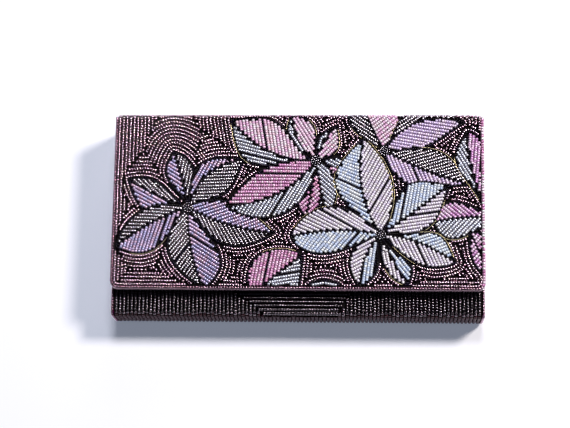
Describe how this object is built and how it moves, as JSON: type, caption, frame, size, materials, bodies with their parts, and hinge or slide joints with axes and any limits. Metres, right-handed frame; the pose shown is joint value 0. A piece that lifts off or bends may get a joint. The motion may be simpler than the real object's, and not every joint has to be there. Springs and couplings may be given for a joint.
{
  "type": "beaded clutch",
  "caption": "Flat rectangular evening clutch covered in glass seed beads, with leaf sprays on a wide fold-over flap, a stiffened spine, end gussets and a magnetic snap.",
  "frame": {"origin": "middle of the back, on the surface that the clutch lies on", "axes": "+X along the clutch's length, +Y towards the folded top, +Z out of the front, through the flap"},
  "size_m": [0.214, 0.118, 0.0334],
  "materials": {
    "beaded_satin": "glass seed beads couched in rows on plum satin",
    "lining_satin": "satin",
    "grey_board": "matte",
    "cotton_wadding": "matte",
    "plated_brass": "polished",
    "ring_magnet": "satin",
    "plated_steel": "satin"
  },
  "bodies": {
    "case": {"body_cover": "beaded_satin", "gusset_left": "beaded_satin", "gusset_right": "beaded_satin", "back_board": "grey_board", "front_board": "grey_board", "bottom_board": "grey_board", "front_wadding": "cotton_wadding", "mouth_facing": "lining_satin", "lining_bag": "lining_satin", "slip_pocket": "lining_satin", "pocket_binding": "lining_satin", "snap_socket_cap": "plated_brass", "snap_magnet": "ring_magnet", "snap_socket_plate": "plated_steel", "snap_socket_washer": "plated_steel", "back_fold": "beaded_satin"},
    "spine": {"spine_cover": "beaded_satin", "spine_board": "grey_board", "spine_lining": "lining_satin", "spine_edging_left": "beaded_satin", "spine_edging_right": "beaded_satin", "top_fold": "beaded_satin"},
    "flap": {"flap_cover": "beaded_satin", "flap_edging": "beaded_satin", "flap_wadding": "cotton_wadding", "flap_board": "grey_board", "flap_lining": "lining_satin", "snap_stud": "plated_brass", "snap_stud_washer": "plated_steel"}
  },
  "joints": [
    {"name": "spine_fold", "type": "hinge", "parent": "case", "child": "spine", "pos_m": [0, 0.0563, 0.0027], "axis": [-1, 0, 0], "range_deg": [0, 90], "deforming": ["back_fold"]},
    {"name": "flap_fold", "type": "hinge", "parent": "spine", "child": "flap", "pos_m": [0, 0.0563, 0.0307], "axis": [-1, 0, 0], "range_deg": [0, 90], "deforming": ["top_fold"]}
  ]
}
